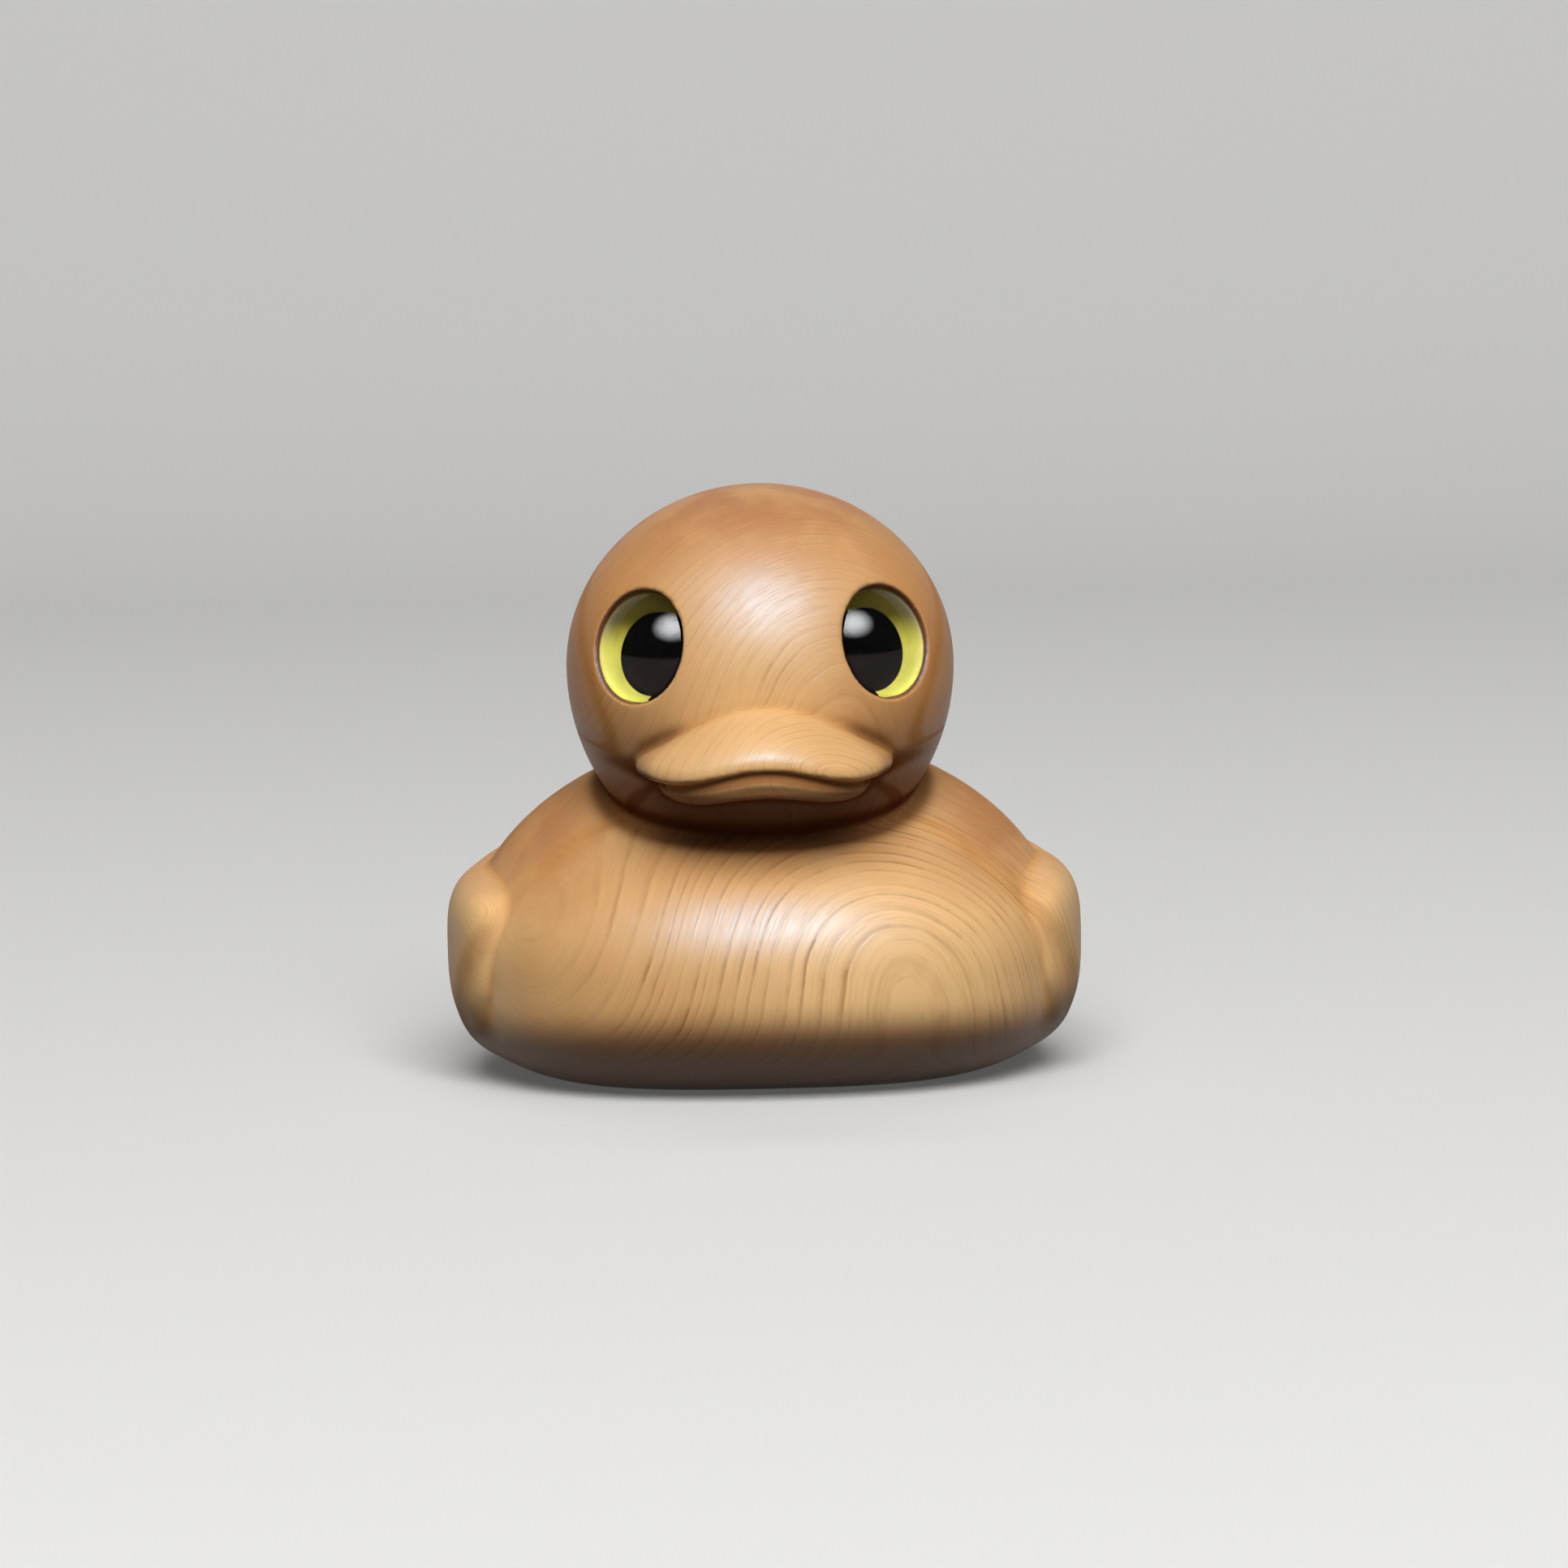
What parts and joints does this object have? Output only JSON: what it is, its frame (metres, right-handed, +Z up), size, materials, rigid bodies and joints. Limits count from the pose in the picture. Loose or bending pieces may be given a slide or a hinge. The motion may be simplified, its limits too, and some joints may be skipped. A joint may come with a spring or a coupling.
{
  "type": "wooden duck figurine",
  "caption": "Small carved wooden duck with a round head, broad bill, raised wings, upturned tail and domed glass eyes, standing on a flat foot as a desk ornament.",
  "frame": {"origin": "middle of the duck, on the flat foot it stands on", "axes": "+Z up, -Y the way the duck faces, +X towards the duck's own left"},
  "size_m": [0.0472, 0.0543, 0.044],
  "materials": {
    "wood": "sanded and oiled to a satin sheen, growth rings showing",
    "eye_glass": "clear polished dome",
    "eye_iris": "yellow enamel ring",
    "eye_pupil": "black enamel disc"
  },
  "bodies": {
    "root": {"duck_body": "wood", "left_eye_lens": "eye_glass", "left_eye_iris": "eye_iris", "left_eye_pupil": "eye_pupil", "right_eye_lens": "eye_glass", "right_eye_iris": "eye_iris", "right_eye_pupil": "eye_pupil"}
  },
  "joints": []
}
